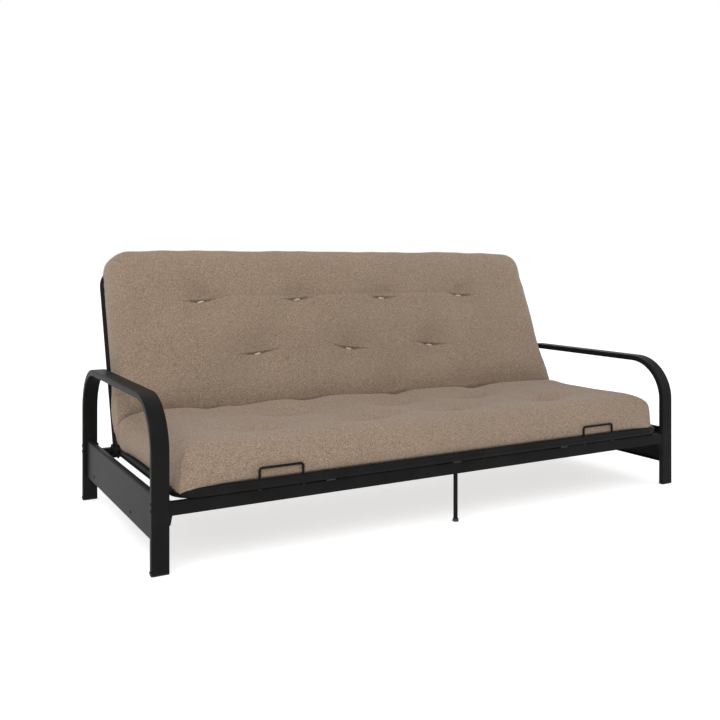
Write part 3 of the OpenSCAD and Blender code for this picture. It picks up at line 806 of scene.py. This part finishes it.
class FUTON_OT_steelwork(bpy.types.Operator):
    """Gives the arms, panels, rails, tubes, stoppers and decks their powder coat"""

    bl_idname = "futon.steelwork"
    bl_label = "Coat the Steelwork"

    def execute(self, context):
        steel = sorted(set(frame["nodes"]) - set(PLASTIC) - set(HARDWARE) - set(CUSHION))
        dress(steel, powder_coat(context.scene.futon_frame))
        return {"FINISHED"}


class FUTON_OT_fittings(bpy.types.Operator):
    """Gives the screws, bolts, nuts, pins and plastic parts their finishes"""

    bl_idname = "futon.fittings"
    bl_label = "Finish the Fittings"

    def execute(self, context):
        dress(HARDWARE, black_zinc(context.scene.futon_frame))
        dress(PLASTIC, moulded_plastic(context.scene.futon_frame))
        return {"FINISHED"}


class FUTON_OT_mattress(bpy.types.Operator):
    """Builds the one-piece folding mattress and its tuft threads"""

    bl_idname = "futon.mattress"
    bl_label = "Build the Mattress"

    def execute(self, context):
        settings = context.scene.futon_mattress
        cover = tweed(settings)
        dress(CUSHION, cover)
        piece = block_mattress(settings, cover)
        swell(piece, settings)
        shape_mattress(piece, settings)
        settle(piece, settings)
        record_lay(piece, settings)
        stitch_pieces(piece, cotton_thread(settings))
        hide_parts(*CUSHION)
        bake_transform(piece)
        return {"FINISHED"}


class FUTON_OT_studio(bpy.types.Operator):
    """Sets up the floor, the soft light and the camera"""

    bl_idname = "futon.studio"
    bl_label = "Set Up the Studio"

    def execute(self, context):
        settings = context.scene.futon_studio
        scene = context.scene
        scene.view_settings.view_transform = "Standard"
        bm = bmesh.new()
        bmesh.ops.create_grid(bm, x_segments=1, y_segments=1, size=40.0)
        mesh = bpy.data.meshes.new("studio_floor")
        bm.to_mesh(mesh)
        bm.free()
        floor = bpy.data.objects.new("studio_floor", mesh)
        floor.data.materials.append(studio_floor(settings))
        scene.collection.objects.link(floor)
        world = bpy.data.worlds.new("studio surround")
        world.use_nodes = True
        surround = world.node_tree.nodes["Background"]
        surround.inputs["Color"].default_value = (1.0, 1.0, 1.0, 1.0)
        surround.inputs["Strength"].default_value = settings.sky
        scene.world = world
        soft_light("key", (-2.5, -2.1, 2.9), (0.0, 0.0, 0.4), 2.6, settings.key)
        soft_light("fill", (3.2, -1.8, 1.8), (0.0, 0.0, 0.4), 2.2, settings.key * 0.22)
        camera_data = bpy.data.cameras.new("camera")
        camera_data.lens = 43.0
        camera_data.sensor_width = 36.0
        camera_data.shift_y = -0.1351
        camera_data.clip_start = 0.05
        camera_data.clip_end = 200.0
        camera = bpy.data.objects.new("camera", camera_data)
        camera.location = (-1.6441, -2.7054, 0.8372)
        camera.rotation_euler = (math.radians(90.0), 0.0, math.radians(-29.53))
        scene.collection.objects.link(camera)
        scene.camera = camera
        return {"FINISHED"}


def soft_light(name, place, aim, size, power):
    """A large square light at a place, turned to a point."""
    data = bpy.data.lights.new(name, "AREA")
    data.size = size
    data.energy = power
    light = bpy.data.objects.new(name, data)
    light.location = place
    light.rotation_euler = (Vector(aim) - Vector(place)).to_track_quat("-Z", "Y").to_euler()
    bpy.context.scene.collection.objects.link(light)


class FUTON_PT_sidebar(bpy.types.Panel):
    """Lists the steps that build the sofa's looks"""

    bl_idname = "FUTON_PT_sidebar"
    bl_label = "Futon Sofa Bed"
    bl_space_type = "VIEW_3D"
    bl_region_type = "UI"
    bl_category = "Futon"

    def draw(self, context):
        for group in (context.scene.futon_mattress, context.scene.futon_frame, context.scene.futon_studio):
            box = self.layout.box()
            for key in group.bl_rna.properties.keys():
                if key not in ("rna_type", "name"):
                    box.prop(group, key)
        for step in STEPS:
            self.layout.operator(step.bl_idname)


STEPS = (FUTON_OT_studio, FUTON_OT_steelwork, FUTON_OT_fittings, FUTON_OT_mattress)
GROUPS = (FUTON_PG_mattress, FUTON_PG_frame, FUTON_PG_studio)


def register():
    """Registers the classes and their settings on the scene."""
    for cls in (*GROUPS, *STEPS, FUTON_PT_sidebar):
        bpy.utils.register_class(cls)
    bpy.types.Scene.futon_mattress = PointerProperty(type=FUTON_PG_mattress)
    bpy.types.Scene.futon_frame = PointerProperty(type=FUTON_PG_frame)
    bpy.types.Scene.futon_studio = PointerProperty(type=FUTON_PG_studio)


def unregister():
    """Removes the settings and classes."""
    del bpy.types.Scene.futon_mattress
    del bpy.types.Scene.futon_frame
    del bpy.types.Scene.futon_studio
    for cls in reversed((*GROUPS, *STEPS, FUTON_PT_sidebar)):
        bpy.utils.unregister_class(cls)


def main():
    """Builds everything in order."""
    register()
    bpy.ops.futon.studio()
    bpy.ops.futon.steelwork()
    bpy.ops.futon.fittings()
    bpy.ops.futon.mattress()


if __name__ == "__main__":
    main()
